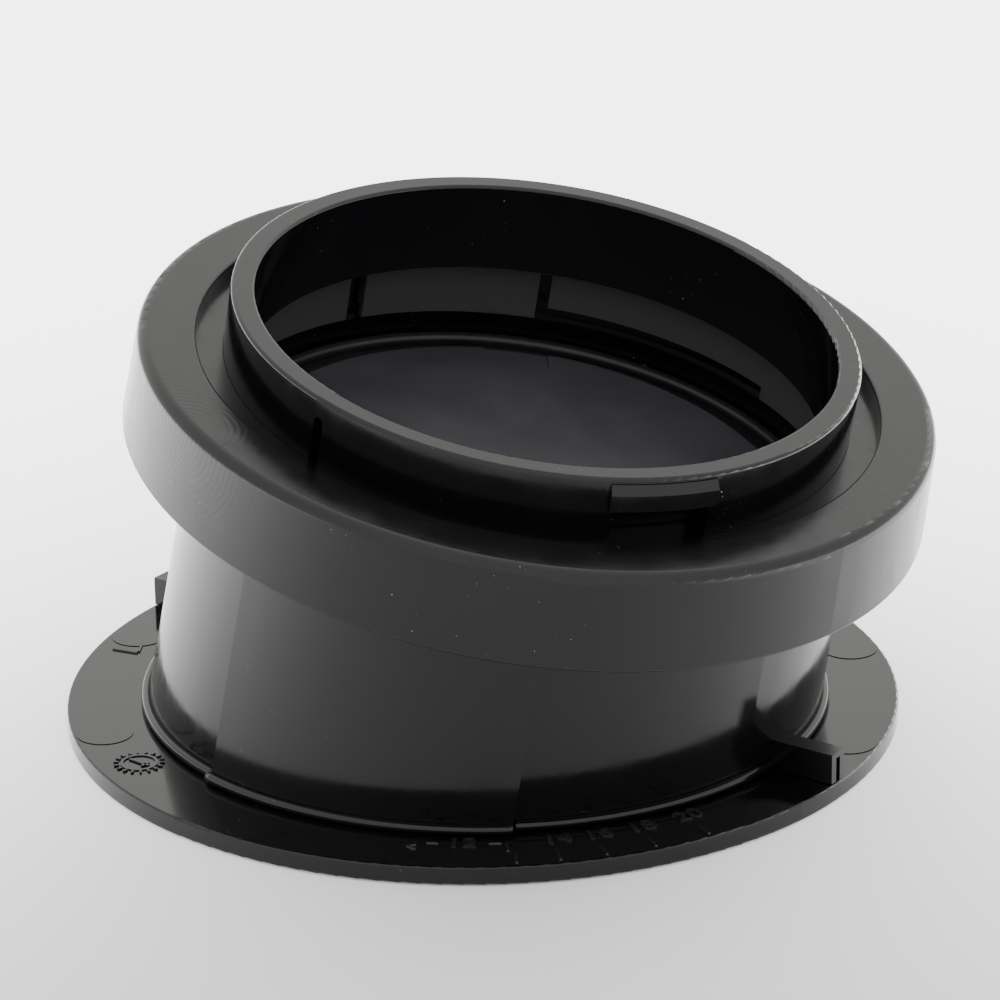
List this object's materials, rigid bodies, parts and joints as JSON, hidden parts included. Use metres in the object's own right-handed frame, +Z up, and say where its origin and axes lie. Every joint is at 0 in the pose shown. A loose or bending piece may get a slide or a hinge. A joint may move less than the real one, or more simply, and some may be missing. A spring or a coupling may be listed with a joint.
{
  "type": "toilet flange",
  "caption": "Floor flange for a toilet outlet: flat disc, leaning tube with a wide skirt ring, turning collar and a removable blanking plug.",
  "frame": {"origin": "centre of the mounting disc's underside", "axes": "+Z up, square to the disc; +X the way the collar leans; the collar's axis starts at the origin"},
  "size_m": [0.1582, 0.15, 0.0893],
  "materials": {
    "gloss_black": "glossy moulded black plastic",
    "satin_black": "satin moulded black plastic with faint flow marks",
    "rubber": "smooth black rubber"
  },
  "bodies": {
    "base": {"base_disc": "gloss_black", "foot_seal": "rubber"},
    "spigot": {"spigot": "gloss_black", "retaining_ring": "gloss_black", "skirt_ring": "satin_black", "seat_ring": "rubber"},
    "collar": {"collar": "gloss_black", "collar_seal": "rubber"},
    "plug": {"blanking_plug": "gloss_black"}
  },
  "joints": [
    {"name": "spigot_turn", "type": "hinge", "parent": "base", "child": "spigot", "pos_m": [0, 0, 0], "axis": [0, 0, 1], "range_deg": [-14, 28]},
    {"name": "collar_turn", "type": "hinge", "parent": "spigot", "child": "collar", "pos_m": [0, 0, 0], "axis": [0.2164, 0, 0.9763], "range_deg": [-30, 8]},
    {"name": "plug_lift", "type": "slide", "parent": "spigot", "child": "plug", "axis": [0.2164, 0, 0.9763], "range_m": [0, 0.06]}
  ]
}
